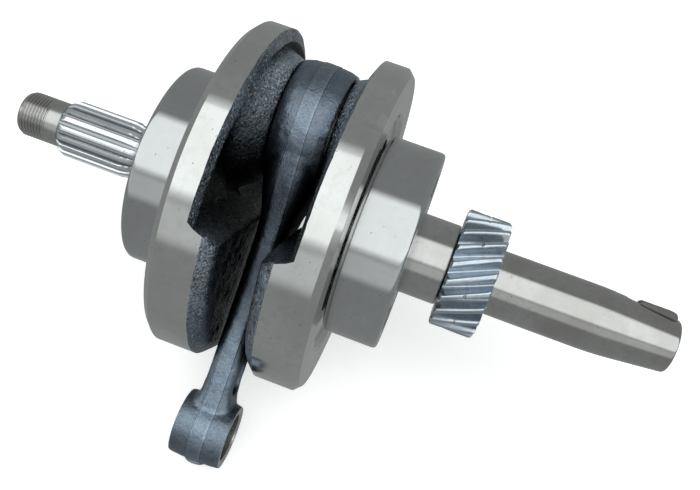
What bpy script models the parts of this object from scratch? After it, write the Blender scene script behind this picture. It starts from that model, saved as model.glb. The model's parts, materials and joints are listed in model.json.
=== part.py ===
"""Built-up crankshaft of a small single-cylinder engine, lying on its web rims and rod eye.

World frame: metres, +X along the crank axis from the spline end to the taper end, +Z up,
floor at z = 0, origin on the floor under the middle of the bounding box.
Crank pieces are drawn in a local frame whose +X is the crank axis, x = 0 at the middle of the
connecting rod and +Z towards the crankpin. The rod is drawn about the crankpin axis with its
small end towards -Z.
"""

from math import acos, atan2, cos, pi, radians, sin, sqrt, tan

import bmesh
import bpy
from mathutils import Matrix

# ---- running gear ----
CRANK_THROW = 0.02475  # half of the 49.5 mm stroke
ROD_LENGTH = 0.0960  # between the centres of the two eyes
PIN_ELEVATION = radians(48.9)  # crankpin direction above +Y as the crank lies
GAP = 0.0003  # between pieces that touch
OVERLAP = 0.0020  # how far shapes of one piece run into each other
POLE_RADIUS = 0.0010  # of the flat left where a turned shape meets its own axis

# ---- crank webs ----
WEB_RADIUS = 0.0510
WEB_OUTER_X = 0.0233
WEB_CHAMFER = 0.0020
WEB_RECESS_X = 0.0219  # machined recess behind the bearing
WEB_RECESS_RADIUS = 0.0366
WEB_HUB_X = 0.0227  # hub face the bearing's inner ring seats against
WEB_HUB_RADIUS = 0.0172
WEIGHT_FACE_X = 0.0058
WEIGHT_RIM_X = 0.0097
WEIGHT_FACE_RADIUS = 0.0472
LAND_RIM_X = 0.0145
LAND_EDGE_X = 0.0129
LAND_EDGE_RADIUS = 0.0474
POCKET_X = 0.0172
POCKET_RADIUS = 0.0450
SHOULDER_HIGH = (0.0200, 0.0001)  # (x, z) of the sloping step between the two thicknesses
SHOULDER_LOW = (0.0040, -0.0046)
WEB_SEGMENTS = 60

# ---- crankpin and its bosses ----
PIN_RADIUS = 0.0130
PIN_END_X = 0.0219  # flush with the recess
PIN_BORE_RADIUS = 0.0045
PIN_CHAMFER = 0.0006
BOSS_FACE_X = 0.0084
BOSS_FLAT_X = 0.0102
BOSS_ROOT_X = 0.0185
BOSS_FACE_RADIUS = 0.0198
BOSS_ROOT_RADIUS = 0.0256
PIN_SEGMENTS = 36

# ---- shaft, taper side (+X) ----
JOURNAL_RADIUS = 0.0125
JOURNAL_END_X = 0.0516
SHAFT_START_X = 0.0223  # just inside the hub, clear of the crankpin
SHAFT_RADIUS = 0.0100
TAPER_START_X = 0.1000
TAPER_END_X = 0.1209
TAPER_END_RADIUS = 0.00795
END_CHAMFER = 0.0006
BOLT_HOLE_RADIUS = 0.0042
BOLT_HOLE_DEPTH = 0.0230
SHAFT_SEGMENTS = 32

# ---- key ----
KEY_ANGLE = radians(-9.0)  # about +X, from the crankpin direction
KEY_WIDTH = 0.0040
KEY_START_X = 0.1076
KEY_END_X = 0.1195
KEY_BASE_RADIUS = 0.0058
KEY_TOP_RADIUS = 0.0100
KEY_ROUNDING = 0.0012
KEY_ROUNDING_STEPS = 4
KEYWAY_START_X = 0.1040
KEYWAY_END_X = 0.1199

# ---- shaft, spline side (-X) ----
LEFT_JOURNAL_END_X = 0.0413
SPLINE_NECK_RADIUS = 0.0077
SPLINE_RADIUS = 0.00895
SPLINE_TEETH = 18
SPLINE_INNER_X = 0.0476
SPLINE_INNER_FULL_X = 0.0522
SPLINE_OUTER_FULL_X = 0.0714
SPLINE_OUTER_X = 0.0741
SPLINE_END_RADIUS = 0.0073
SPLINE_TIP_SHARE = 0.44  # of one tooth pitch
SPLINE_ROOT_SHARE = 0.30
SPLINE_PHASE = radians(3.6)
THREAD_RADIUS = 0.0070
THREAD_ROOT_RADIUS = 0.0064
THREAD_PITCH = 0.0010
THREAD_TURNS = 8
THREAD_END_X = 0.0879
THREAD_START_X = 0.0874
THREAD_LEAD_IN = 0.1  # of one pitch
THREAD_RUN_OUT = 1.4  # pitches from the last turn to the plain neck
THREAD_SEGMENTS = 20
CENTRE_HOLE_RADIUS = 0.0020
CENTRE_HOLE_DEPTH = 0.0030
CENTRE_HOLE_TIP = 0.0004

# ---- timing gear ----
GEAR_TEETH = 21
GEAR_MODULE = 0.00145
GEAR_HELIX = radians(25.0)
GEAR_DEDENDUM = 1.25  # modules
GEAR_START_X = 0.0519
GEAR_END_X = 0.0654
GEAR_STATIONS = 5
GEAR_PRESSURE_ANGLE = radians(20.0)
GEAR_PHASE = radians(6.8)

# ---- connecting rod ----
ROD_HALF_WIDTH = 0.0080
BIG_END_RADIUS = 0.0203
BIG_END_FACE_RADIUS = 0.0190
BIG_END_BORE = 0.0173
SMALL_END_RADIUS = 0.0104
SMALL_END_FACE_RADIUS = 0.0099
SMALL_END_BORE = 0.0075
EYE_CORNER = 0.0007
EYE_CROWN_SHARE = 0.35  # of the half width, where an eye reaches its full radius
EYE_SEGMENTS = 48
SHANK_HALF_THICKNESS = 0.00475
SHANK_CROWN = 0.0006
PANEL_DEPTH = 0.0018
PANEL_DRAFT = 0.0006
PANEL_TOP_Z = -0.0370
PANEL_BOTTOM_Z = -0.0800
PANEL_TOP_HALF = 0.0054
PANEL_BOTTOM_HALF = 0.0038
OIL_HOLE_RADIUS = 0.0017
OIL_LIP_RADIUS = 0.0031
OIL_LIP_HEIGHT = 0.0004
OIL_SEGMENTS = 16
# (z, half width across the swing plane, half thickness along the crank axis)
SHANK_STATIONS = (
    (-0.0090, 0.0178, 0.0078),
    (-0.0140, 0.0164, 0.0078),
    (-0.0180, 0.0150, 0.0076),
    (-0.0220, 0.0134, 0.0068),
    (-0.0260, 0.0120, 0.0056),
    (-0.0300, 0.0109, 0.0050),
    (-0.0340, 0.0102, SHANK_HALF_THICKNESS),
    (-0.0500, 0.0086, SHANK_HALF_THICKNESS),
    (-0.0835, 0.0071, SHANK_HALF_THICKNESS),
    (-0.0862, 0.0074, 0.0052),
    (-0.0880, 0.0078, 0.0064),
    (-0.0900, 0.0078, 0.0066),
)

# ---- big-end needle bearing ----
ROLLERS = 14
ROLLER_RADIUS = 0.00185
ROLLER_HALF_LENGTH = 0.0057
ROLLER_ORBIT = 0.01515
BIG_CAGE_INNER = 0.0143
BIG_CAGE_OUTER = 0.0160
BIG_CAGE_HALF = 0.0076
ROLLER_SEGMENTS = 10

# ---- main ball bearings, 25 x 62 x 17 mm ----
BEARING_BORE = 0.0125
BEARING_OUTER = 0.0310
BEARING_INNER_X = 0.0230
BEARING_WIDTH = 0.0170
BEARING_CORNER = 0.0015
BALLS = 7
BALL_RADIUS = 0.00545
BALL_ORBIT = 0.02175
RACE_RADIUS = 0.0058
RACE_STEPS = 4
INNER_LAND = 0.0176
OUTER_LAND = 0.0260
CAGE_INNER = 0.0203
CAGE_OUTER = 0.0232
CAGE_POCKET = 0.0058
CAGE_SHELL = 0.0066
CAGE_BAR_HALF = 0.0011
CAGE_STEPS = 8  # sections per ball
RING_SEGMENTS = 36
BALL_COLUMNS = 12
BALL_ROWS = 6

# ---- looks: colour, metallic, roughness ----
GROUND_STEEL = ((0.62, 0.63, 0.64), 1.0, 0.30)
PIN_STEEL = ((0.62, 0.63, 0.64), 1.0, 0.20)
KEY_STEEL = ((0.27, 0.26, 0.25), 1.0, 0.40)
FORGED_STEEL = ((0.20, 0.21, 0.23), 1.0, 0.50)
GEAR_STEEL = ((0.52, 0.56, 0.60), 1.0, 0.30)
RING_STEEL = ((0.66, 0.66, 0.65), 1.0, 0.18)
BALL_STEEL = ((0.66, 0.66, 0.65), 1.0, 0.05)
CAGE_STEEL = ((0.46, 0.44, 0.41), 1.0, 0.38)

SHARP_ANGLE = radians(32.0)
REACH = 0.0600  # larger than the webs, for cutters

# ---- where things lie ----
MID_X = (THREAD_END_X - TAPER_END_X) / 2
PIN_HEIGHT = WEB_RADIUS + CRANK_THROW * sin(PIN_ELEVATION)
ROD_LEAN = acos((PIN_HEIGHT - SMALL_END_RADIUS) / ROD_LENGTH)
EYE_Y = CRANK_THROW * cos(PIN_ELEVATION) - ROD_LENGTH * sin(ROD_LEAN)
AXIS_Y = (SMALL_END_RADIUS - EYE_Y - WEB_RADIUS) / 2
CRANK_ROLL = PIN_ELEVATION - pi / 2
CRANK_FRAME = Matrix.Translation((MID_X, AXIS_Y, WEB_RADIUS)) @ Matrix.Rotation(CRANK_ROLL, 4, "X")
PIN_FRAME = CRANK_FRAME @ Matrix.Translation((0, 0, CRANK_THROW))
ROD_FRAME = Matrix.Translation(PIN_FRAME.translation) @ Matrix.Rotation(-ROD_LEAN, 4, "X")


def clear_scene():
    for obj in list(bpy.data.objects):
        bpy.data.objects.remove(obj, do_unlink=True)


def material(name, colour, metallic, roughness):
    made = bpy.data.materials.new(name)
    made.use_nodes = True
    shader = made.node_tree.nodes["Principled BSDF"]
    shader.inputs["Base Color"].default_value = (*colour, 1.0)
    shader.inputs["Metallic"].default_value = metallic
    shader.inputs["Roughness"].default_value = roughness
    return made


def mesh_of(name, vertices, faces):
    """A mesh with outward normals, smooth except across sharp edges."""
    mesh = bpy.data.meshes.new(name)
    mesh.from_pydata(vertices, [], faces)
    work = bmesh.new()
    work.from_mesh(mesh)
    bmesh.ops.remove_doubles(work, verts=work.verts, dist=1e-6)
    bmesh.ops.recalc_face_normals(work, faces=work.faces)
    for face in work.faces:
        face.smooth = True
    work.to_mesh(mesh)
    work.free()
    mesh.set_sharp_from_angle(angle=SHARP_ANGLE)
    return mesh


def place(name, mesh, frame, look=None):
    obj = bpy.data.objects.new(name, mesh)
    bpy.context.scene.collection.objects.link(obj)
    obj.matrix_world = frame
    if look:
        mesh.materials.clear()
        mesh.materials.append(material(name, *look))
    return obj


def combine(host, mesh, operation, frame=None):
    """Adds a Boolean to host, with a hidden helper drawn in host's own frame."""
    helper = bpy.data.objects.new(mesh.name, mesh)
    bpy.context.scene.collection.objects.link(helper)
    helper.parent = host
    helper.matrix_local = frame or Matrix()
    helper.hide_render = True
    helper.display_type = "WIRE"
    modifier = host.modifiers.new(mesh.name, "BOOLEAN")
    modifier.operation = operation
    modifier.solver = "EXACT"
    modifier.object = helper
    return helper


def ring_point(x, radius, angle):
    """Angle 0 is +Z, turning towards -Y."""
    return (x, -radius * sin(angle), radius * cos(angle))


def loft(name, rings, wrap=False):
    """Skins rings of equal length, with flat caps unless the last ring joins the first."""
    count = len(rings[0])
    vertices = [point for ring in rings for point in ring]
    faces = []
    for k in range(len(rings) if wrap else len(rings) - 1):
        here, there = k * count, (k + 1) % len(rings) * count
        for i in range(count):
            j = (i + 1) % count
            faces.append((here + i, here + j, there + j, there + i))
    if not wrap:
        faces.append(tuple(range(count)))
        faces.append(tuple(range((len(rings) - 1) * count, len(rings) * count)))
    return mesh_of(name, vertices, faces)


def lathe(name, profile, segments, side=1, hollow=False):
    """Turns (x, radius) pairs about X. A hollow profile is a closed loop."""
    angles = [2 * pi * (i + 0.5) / segments for i in range(segments)]
    rings = [[ring_point(side * x, r, a) for a in angles] for x, r in profile]
    return loft(name, rings, wrap=hollow)


def prism(name, outline, half_depth):
    """Extrudes an (x, z) outline along Y."""
    return loft(name, [[(x, y, z) for x, z in outline] for y in (-half_depth, half_depth)])


def cylinder(name, radius, start_x, end_x, segments):
    return lathe(name, [(start_x, radius), (end_x, radius)], segments)


def add_pocket(half, side):
    """Takes the thin, crankpin side of a web down to its land and pocket."""
    slope = (LAND_RIM_X - LAND_EDGE_X) / (WEB_RADIUS - LAND_EDGE_RADIUS)
    rim_x = LAND_RIM_X + (REACH - WEB_RADIUS) * slope
    floor = [
        (0.0, REACH),
        (rim_x, REACH),
        (LAND_EDGE_X, LAND_EDGE_RADIUS),
        (POCKET_X, POCKET_RADIUS),
    ]
    profile = [(0.0, POLE_RADIUS), *floor, (POCKET_X, POLE_RADIUS)]
    pocket = combine(half, lathe("pocket", profile, WEB_SEGMENTS, side), "DIFFERENCE")
    above = [SHOULDER_HIGH, (REACH, SHOULDER_HIGH[1]), (REACH, REACH), (-REACH, REACH)]
    above += [(-REACH, SHOULDER_LOW[1]), SHOULDER_LOW]
    side_mesh = prism("thin_side", [(side * x, z) for x, z in above], REACH)
    combine(pocket, side_mesh, "INTERSECT")


def add_pin_boss(half, side):
    boss = [
        (BOSS_FACE_X, BOSS_FACE_RADIUS),
        (BOSS_FLAT_X, BOSS_FACE_RADIUS),
        (BOSS_ROOT_X, BOSS_ROOT_RADIUS),
    ]
    at_pin = Matrix.Translation((0, 0, CRANK_THROW))
    combine(half, lathe("pin_boss", boss, PIN_SEGMENTS, side), "UNION", at_pin)
    hole = [(0.0, PIN_RADIUS + GAP), (REACH, PIN_RADIUS + GAP)]
    combine(half, lathe("pin_hole", hole, PIN_SEGMENTS, side), "DIFFERENCE", at_pin)


def crank_half(name, side):
    """One web with its counterweight, without its shaft."""
    profile = [
        (WEIGHT_FACE_X, POLE_RADIUS),
        (WEIGHT_FACE_X, WEIGHT_FACE_RADIUS),
        (WEIGHT_RIM_X, WEB_RADIUS),
        (WEB_OUTER_X - WEB_CHAMFER, WEB_RADIUS),
        (WEB_OUTER_X, WEB_RADIUS - WEB_CHAMFER),
        (WEB_OUTER_X, WEB_RECESS_RADIUS),
        (WEB_RECESS_X, WEB_RECESS_RADIUS - GAP),
        (WEB_RECESS_X, WEB_HUB_RADIUS),
        (WEB_HUB_X, WEB_HUB_RADIUS),
        (WEB_HUB_X, POLE_RADIUS),
    ]
    half = place(name, lathe(name, profile, WEB_SEGMENTS, side), CRANK_FRAME, GROUND_STEEL)
    add_pocket(half, side)
    add_pin_boss(half, side)
    return half


def right_crank_half():
    half = crank_half("right_crank_half", 1)
    taper_slope = (SHAFT_RADIUS - TAPER_END_RADIUS) / (TAPER_END_X - TAPER_START_X)
    shaft = [
        (SHAFT_START_X, JOURNAL_RADIUS),
        (JOURNAL_END_X - END_CHAMFER, JOURNAL_RADIUS),
        (JOURNAL_END_X, JOURNAL_RADIUS - END_CHAMFER),
        (JOURNAL_END_X, SHAFT_RADIUS),
        (TAPER_START_X, SHAFT_RADIUS),
        (TAPER_END_X - END_CHAMFER, TAPER_END_RADIUS + END_CHAMFER * taper_slope),
        (TAPER_END_X, TAPER_END_RADIUS - END_CHAMFER),
        (TAPER_END_X, BOLT_HOLE_RADIUS + END_CHAMFER),
        (TAPER_END_X - END_CHAMFER, BOLT_HOLE_RADIUS),
        (TAPER_END_X - BOLT_HOLE_DEPTH, BOLT_HOLE_RADIUS),
    ]
    combine(half, lathe("taper_shaft", shaft, SHAFT_SEGMENTS), "UNION")
    keyway = key_outline(KEYWAY_START_X, KEYWAY_END_X, KEY_BASE_RADIUS - GAP, REACH, 0.0)
    slot = prism("keyway", keyway, KEY_WIDTH / 2 + GAP)
    combine(half, slot, "DIFFERENCE", Matrix.Rotation(KEY_ANGLE, 4, "X"))


def key_outline(start, end, base, top, rounding):
    """(x, z) outline of a key whose outer corners are rounded."""
    if not rounding:
        return [(start, base), (end, base), (end, top), (start, top)]
    steps = [pi / 2 * k / KEY_ROUNDING_STEPS for k in range(KEY_ROUNDING_STEPS + 1)]
    right = [(end - rounding * (1 - cos(a)), top - rounding * (1 - sin(a))) for a in steps]
    left = [(start, top - rounding / 2), (start + rounding / 2, top)]
    return [(start, base), (end, base), *right, *reversed(left)]


def flywheel_key():
    outline = key_outline(KEY_START_X, KEY_END_X, KEY_BASE_RADIUS, KEY_TOP_RADIUS, KEY_ROUNDING)
    frame = CRANK_FRAME @ Matrix.Rotation(KEY_ANGLE, 4, "X")
    place("flywheel_key", prism("flywheel_key", outline, KEY_WIDTH / 2), frame, KEY_STEEL)


def spline_ring(x, tip, root):
    """One section of the spline: a tooth top and a groove floor for each pitch."""
    pitch = 2 * pi / SPLINE_TEETH
    half_tip = pitch * SPLINE_TIP_SHARE / 2
    half_root = pitch * SPLINE_ROOT_SHARE / 2
    ring = []
    for k in range(SPLINE_TEETH):
        centre = k * pitch + SPLINE_PHASE
        groove = centre + pitch / 2
        ring += [
            ring_point(-x, tip, centre - half_tip),
            ring_point(-x, tip, centre + half_tip),
            ring_point(-x, root, groove - half_root),
            ring_point(-x, root, groove + half_root),
        ]
    return ring


def spline_mesh():
    end_slope = (SPLINE_RADIUS - SPLINE_END_RADIUS) / (SPLINE_OUTER_X - SPLINE_OUTER_FULL_X)
    root_x = SPLINE_OUTER_X - (SPLINE_NECK_RADIUS - SPLINE_END_RADIUS) / end_slope
    sections = [
        (LEFT_JOURNAL_END_X - OVERLAP, SPLINE_NECK_RADIUS, SPLINE_NECK_RADIUS),
        (SPLINE_INNER_X, SPLINE_NECK_RADIUS, SPLINE_NECK_RADIUS),
        (SPLINE_INNER_FULL_X, SPLINE_RADIUS, SPLINE_NECK_RADIUS),
        (SPLINE_OUTER_FULL_X, SPLINE_RADIUS, SPLINE_NECK_RADIUS),
        (root_x, SPLINE_NECK_RADIUS, SPLINE_NECK_RADIUS),
        (SPLINE_OUTER_X, SPLINE_END_RADIUS, SPLINE_END_RADIUS),
    ]
    return loft("spline", [spline_ring(*section) for section in sections])


def thread_mesh():
    """Threaded end and its plain neck. Each column of points runs along the shaft, and the
    crest and root points shift by one pitch in a full turn."""
    count = THREAD_SEGMENTS
    bends = 2 * THREAD_TURNS + 1
    columns = []
    vertices = []
    for i in range(count):
        angle = 2 * pi * i / count
        points = [
            (THREAD_END_X - CENTRE_HOLE_DEPTH, CENTRE_HOLE_TIP),
            (THREAD_END_X, CENTRE_HOLE_RADIUS),
            (THREAD_END_X, THREAD_ROOT_RADIUS - GAP),
            (THREAD_START_X, THREAD_ROOT_RADIUS),
        ]
        for k in range(bends):
            x = THREAD_START_X - THREAD_PITCH * (THREAD_LEAD_IN + k / 2 + i / count)
            points.append((x, THREAD_RADIUS if k % 2 else THREAD_ROOT_RADIUS))
        neck_x = THREAD_START_X - THREAD_PITCH * (THREAD_TURNS + THREAD_RUN_OUT)
        points += [(neck_x, THREAD_RADIUS), (SPLINE_OUTER_X - OVERLAP / 2, THREAD_RADIUS)]
        columns.append([len(vertices) + k for k in range(len(points))])
        vertices += [ring_point(-x, r, angle) for x, r in points]
    faces = []
    for a, b in zip(columns, columns[1:]):
        faces += [(a[k], a[k + 1], b[k + 1], b[k]) for k in range(len(a) - 1)]
    last, first = columns[-1], columns[0]
    start = 3  # the ring where the thread begins
    shift = 2  # rings in one pitch: a crest and a root
    faces += [(last[k], last[k + 1], first[k + 1], first[k]) for k in range(start)]
    faces += [(last[start], first[k + 1], first[k]) for k in range(start, start + shift + 1)]
    faces.append((last[start], last[start + 1], first[start + shift + 1]))
    for k in range(start + 1, start + bends - shift):
        faces.append((last[k], last[k + 1], first[k + shift + 1], first[k + shift]))
    foot = start + bends  # the last root point of a column
    faces += [(last[k], last[k + 1], first[foot + 1]) for k in range(foot - shift, foot + 1)]
    faces.append((last[foot - shift], first[foot + 1], first[foot]))
    faces += [(last[foot + 1], last[foot + 2], first[foot + 2], first[foot + 1])]
    faces.append(tuple(column[0] for column in columns))
    faces.append(tuple(column[-1] for column in columns))
    return mesh_of("thread", vertices, faces)


def left_crank_half():
    half = crank_half("left_crank_half", -1)
    journal = [
        (SHAFT_START_X, JOURNAL_RADIUS),
        (LEFT_JOURNAL_END_X - END_CHAMFER, JOURNAL_RADIUS),
        (LEFT_JOURNAL_END_X, JOURNAL_RADIUS - END_CHAMFER),
    ]
    combine(half, lathe("left_journal", journal, SHAFT_SEGMENTS, -1), "UNION")
    combine(half, spline_mesh(), "UNION")
    combine(half, thread_mesh(), "UNION")


def crankpin():
    pin = [
        (-PIN_END_X, PIN_RADIUS - PIN_CHAMFER),
        (-PIN_END_X + PIN_CHAMFER, PIN_RADIUS),
        (PIN_END_X - PIN_CHAMFER, PIN_RADIUS),
        (PIN_END_X, PIN_RADIUS - PIN_CHAMFER),
        (PIN_END_X, PIN_BORE_RADIUS),
        (-PIN_END_X, PIN_BORE_RADIUS),
    ]
    mesh = lathe("crankpin", pin, PIN_SEGMENTS, hollow=True)
    place("crankpin", mesh, PIN_FRAME, PIN_STEEL)


def timing_gear():
    """Helical gear slid onto the shaft against the journal."""
    pitch_radius = GEAR_TEETH * GEAR_MODULE / cos(GEAR_HELIX) / 2
    tip = pitch_radius + GEAR_MODULE
    root = pitch_radius - GEAR_DEDENDUM * GEAR_MODULE
    lean = tan(GEAR_PRESSURE_ANGLE) / cos(GEAR_HELIX)
    quarter = pi / GEAR_TEETH / 2
    # half angles of a tooth at its tip, its pitch circle and its root
    shape = [(r, quarter - (r - pitch_radius) * lean / pitch_radius) for r in (tip, pitch_radius, root)]
    length = GEAR_END_X - GEAR_START_X
    rings = []
    for station in range(GEAR_STATIONS):
        x = GEAR_START_X + length * station / (GEAR_STATIONS - 1)
        twist = GEAR_PHASE - (x - GEAR_START_X) * tan(GEAR_HELIX) / pitch_radius
        ring = []
        for k in range(GEAR_TEETH):
            centre = 2 * pi * k / GEAR_TEETH + twist
            ring += [ring_point(x, r, centre - half) for r, half in reversed(shape)]
            ring += [ring_point(x, r, centre + half) for r, half in shape]
        rings.append(ring)
    gear = place("timing_gear", loft("timing_gear", rings), CRANK_FRAME, GEAR_STEEL)
    ends = (GEAR_START_X - GAP, GEAR_END_X + GAP)
    bore = cylinder("gear_bore", SHAFT_RADIUS + GAP, *ends, SHAFT_SEGMENTS)
    combine(gear, bore, "DIFFERENCE")


def shank_mesh():
    """Forged shank: eight-sided sections with a ridge along the parting line."""
    rings = []
    for z, half_width, half_thickness in SHANK_STATIONS:
        edge = half_width - SHANK_CROWN
        rings.append(
            [
                (half_thickness, -edge, z),
                (half_thickness, edge, z),
                (0.0, half_width, z),
                (-half_thickness, edge, z),
                (-half_thickness, -edge, z),
                (0.0, -half_width, z),
            ]
        )
    return loft("shank", rings)


def panel_mesh(side):
    """The recess along one face of the I-section shank."""
    outer = SHANK_HALF_THICKNESS + GAP
    floor = SHANK_HALF_THICKNESS - PANEL_DEPTH
    rings = []
    for x, grow in ((floor, 0.0), (outer, PANEL_DRAFT)):
        top, bottom = PANEL_TOP_HALF + grow, PANEL_BOTTOM_HALF + grow
        rings.append(
            [
                (side * x, -top, PANEL_TOP_Z),
                (side * x, -top / 2, PANEL_TOP_Z + top / 2 + grow),
                (side * x, top / 2, PANEL_TOP_Z + top / 2 + grow),
                (side * x, top, PANEL_TOP_Z),
                (side * x, bottom, PANEL_BOTTOM_Z),
                (side * x, bottom / 2, PANEL_BOTTOM_Z - bottom / 2 - grow),
                (side * x, -bottom / 2, PANEL_BOTTOM_Z - bottom / 2 - grow),
                (side * x, -bottom, PANEL_BOTTOM_Z),
            ]
        )
    return loft("panel", rings)


def eye_profile(middle, face):
    """Barrel of a rod eye, fuller along the parting line than at its faces."""
    half = [(ROD_HALF_WIDTH, face - EYE_CORNER), (ROD_HALF_WIDTH - EYE_CORNER, face)]
    half.append((ROD_HALF_WIDTH * EYE_CROWN_SHARE, middle))
    return [(-x, r) for x, r in half] + [(x, r) for x, r in reversed(half)]


def connecting_rod():
    at_eye = Matrix.Translation((0, 0, -ROD_LENGTH))
    barrel = lathe("connecting_rod", eye_profile(BIG_END_RADIUS, BIG_END_FACE_RADIUS), EYE_SEGMENTS)
    rod = place("connecting_rod", barrel, ROD_FRAME, FORGED_STEEL)
    combine(rod, shank_mesh(), "UNION")
    small = lathe("small_end", eye_profile(SMALL_END_RADIUS, SMALL_END_FACE_RADIUS), SHAFT_SEGMENTS)
    combine(rod, small, "UNION", at_eye)
    lip_end = ROD_LENGTH + SMALL_END_RADIUS + OIL_LIP_HEIGHT
    down = Matrix.Rotation(pi / 2, 4, "Y")
    lip = cylinder("oil_lip", OIL_LIP_RADIUS, ROD_LENGTH + SMALL_END_BORE + GAP, lip_end, OIL_SEGMENTS)
    combine(rod, lip, "UNION", down)
    for side in (-1, 1):
        combine(rod, panel_mesh(side), "DIFFERENCE")
    wide = 2 * ROD_HALF_WIDTH
    combine(rod, cylinder("big_bore", BIG_END_BORE, -wide, wide, EYE_SEGMENTS), "DIFFERENCE")
    bore = cylinder("small_bore", SMALL_END_BORE, -wide, wide, SHAFT_SEGMENTS)
    combine(rod, bore, "DIFFERENCE", at_eye)
    oil = cylinder("oil_hole", OIL_HOLE_RADIUS, ROD_LENGTH, lip_end + GAP, OIL_SEGMENTS)
    combine(rod, oil, "DIFFERENCE", down)


def big_end_bearing():
    cage = [
        (-BIG_CAGE_HALF, BIG_CAGE_INNER),
        (-BIG_CAGE_HALF, BIG_CAGE_OUTER),
        (BIG_CAGE_HALF, BIG_CAGE_OUTER),
        (BIG_CAGE_HALF, BIG_CAGE_INNER),
    ]
    mesh = lathe("big_end_cage", cage, 2 * ROLLERS, hollow=True)
    ring = place("big_end_cage", mesh, PIN_FRAME, CAGE_STEEL)
    half_x, half_y = ROLLER_HALF_LENGTH + GAP, ROLLER_RADIUS + GAP
    corners = [(-half_x, -half_y), (half_x, -half_y), (half_x, half_y), (-half_x, half_y)]
    heights = (BIG_CAGE_INNER - OVERLAP, BIG_CAGE_OUTER + OVERLAP)
    slot = loft("roller_slot", [[(x, y, z) for x, y in corners] for z in heights])
    ends = (-ROLLER_HALF_LENGTH, ROLLER_HALF_LENGTH)
    roller = cylinder("big_end_roller", ROLLER_RADIUS, *ends, ROLLER_SEGMENTS)
    for k in range(ROLLERS):
        turn = Matrix.Rotation(2 * pi * k / ROLLERS, 4, "X")
        combine(ring, slot, "DIFFERENCE", turn)
        frame = PIN_FRAME @ turn @ Matrix.Translation((0, 0, ROLLER_ORBIT))
        place(f"big_end_roller_{k + 1:02d}", roller, frame, BALL_STEEL)


def race_arc(centre_sign, land):
    """(x, radius) points of a ball groove that starts and ends on a land."""
    depth = abs(BALL_ORBIT - land)
    reach = sqrt(RACE_RADIUS**2 - depth**2)
    limit = atan2(reach, depth)
    angles = [limit * (2 * k / RACE_STEPS - 1) for k in range(RACE_STEPS + 1)]
    return [(RACE_RADIUS * sin(a), BALL_ORBIT + centre_sign * RACE_RADIUS * cos(a)) for a in angles]


def bearing_rings(side_name, frame):
    half = BEARING_WIDTH / 2
    corner = BEARING_CORNER
    outer = race_arc(1, OUTER_LAND) + [
        (half, OUTER_LAND),
        (half, BEARING_OUTER - corner),
        (half - corner, BEARING_OUTER),
        (-half + corner, BEARING_OUTER),
        (-half, BEARING_OUTER - corner),
        (-half, OUTER_LAND),
    ]
    bore = BEARING_BORE + GAP
    inner = race_arc(-1, INNER_LAND) + [
        (half, INNER_LAND),
        (half, bore + corner),
        (half - corner, bore),
        (-half + corner, bore),
        (-half, bore + corner),
        (-half, INNER_LAND),
    ]
    for kind, profile in (("outer", outer), ("inner", inner)):
        name = f"{side_name}_bearing_{kind}_ring"
        mesh = lathe(name, profile, RING_SEGMENTS, hollow=True)
        place(name, mesh, frame, RING_STEEL)


def ball_mesh(name, radius):
    rings = []
    for row in range(1, BALL_ROWS):
        polar = pi * row / BALL_ROWS
        angles = [2 * pi * (k + row / 2) / BALL_COLUMNS for k in range(BALL_COLUMNS)]
        rings.append([ring_point(radius * cos(polar), radius * sin(polar), a) for a in angles])
    vertices = [point for ring in rings for point in ring]
    vertices += [(radius, 0, 0), (-radius, 0, 0)]
    faces = []
    for k in range(len(rings) - 1):
        for i in range(BALL_COLUMNS):
            j = (i + 1) % BALL_COLUMNS
            here, there = k * BALL_COLUMNS, (k + 1) * BALL_COLUMNS
            faces += [(here + i, here + j, there + i), (here + j, there + j, there + i)]
    foot = len(rings) * BALL_COLUMNS - BALL_COLUMNS
    for i in range(BALL_COLUMNS):
        j = (i + 1) % BALL_COLUMNS
        faces.append((i, j, len(vertices) - 2))
        faces.append((foot + i, foot + j, len(vertices) - 1))
    return mesh_of(name, vertices, faces)


def cage_mesh(name):
    """Ribbon cage: flat bars between the balls, bulging over each ball."""
    sections = BALLS * CAGE_STEPS
    rings = []
    for k in range(sections):
        angle = 2 * pi * k / sections
        offset = (k % CAGE_STEPS) / CAGE_STEPS
        offset = min(offset, 1 - offset) * 2 * pi / BALLS
        across = BALL_ORBIT * sin(offset)
        bulge = sqrt(max(CAGE_SHELL**2 - across**2, 0.0))
        half = max(bulge, CAGE_BAR_HALF)
        corners = [(-half, CAGE_INNER), (-half, CAGE_OUTER), (half, CAGE_OUTER), (half, CAGE_INNER)]
        rings.append([ring_point(x, r, angle) for x, r in corners])
    return loft(name, rings, wrap=True)


def main_bearing(side_name, side):
    centre_x = side * (BEARING_INNER_X + BEARING_WIDTH / 2)
    frame = CRANK_FRAME @ Matrix.Translation((centre_x, 0, 0))
    bearing_rings(side_name, frame)
    name = f"{side_name}_bearing_cage"
    cage = place(name, cage_mesh(name), frame, CAGE_STEEL)
    pocket = ball_mesh("ball_pocket", CAGE_POCKET)
    ball = ball_mesh("bearing_ball", BALL_RADIUS)
    for k in range(BALLS):
        spot = Matrix.Rotation(2 * pi * k / BALLS, 4, "X") @ Matrix.Translation((0, 0, BALL_ORBIT))
        combine(cage, pocket, "DIFFERENCE", spot)
        place(f"{side_name}_bearing_ball_{k + 1}", ball, frame @ spot, BALL_STEEL)


clear_scene()
left_crank_half()
right_crank_half()
crankpin()
flywheel_key()
timing_gear()
connecting_rod()
big_end_bearing()
main_bearing("left", -1)
main_bearing("right", 1)
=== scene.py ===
"""Looks of a built-up crankshaft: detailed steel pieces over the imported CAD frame.

Shapes are drawn in millimetres in local frames and placed by the frame's own joints. The crank
frame has +X along the crank axis, x = 0 at the middle of the rod and +Z towards the crankpin. The
rod frame has the crankpin's axis as its X axis and its small end towards -Z.
"""

import json
from math import atan2, cos, hypot, pi, radians, sin, sqrt, tan

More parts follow.
